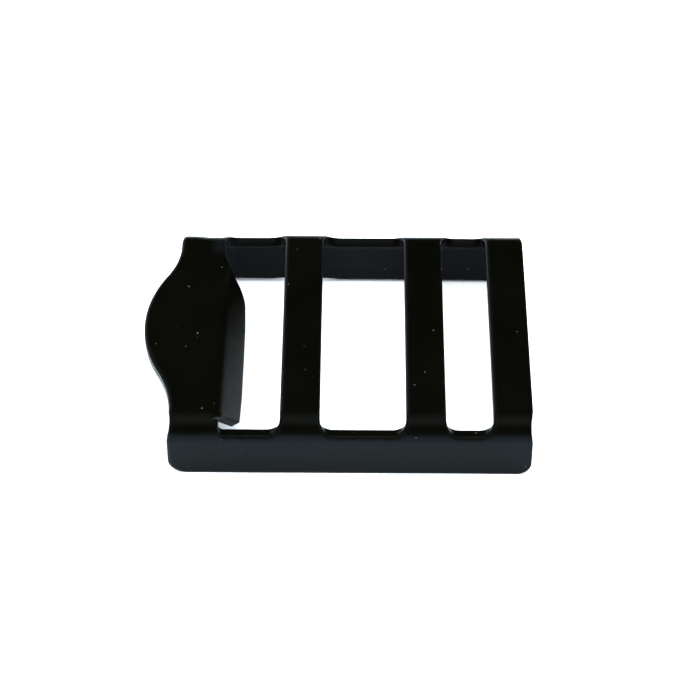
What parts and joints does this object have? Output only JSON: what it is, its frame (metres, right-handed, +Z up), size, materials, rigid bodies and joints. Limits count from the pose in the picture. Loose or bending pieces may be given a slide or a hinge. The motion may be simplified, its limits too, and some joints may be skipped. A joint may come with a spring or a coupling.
{
  "type": "strap adjuster buckle",
  "caption": "Bent sheet steel ladder buckle for flat webbing, with side flanges, cross bars, through slots and a thumb tab with a folded lip, coated black.",
  "frame": {"origin": "centre of the buckle's bounding box in plan, on the plane that the front flange's lower edge stands on", "axes": "+X from the thumb tab to the far bar, +Y across the webbing, +Z up out of the top face"},
  "size_m": [0.037, 0.028, 0.0063],
  "materials": {
    "black_coating": "satin black enamel over steel"
  },
  "bodies": {
    "root": {"buckle_frame": "black_coating"}
  },
  "joints": []
}
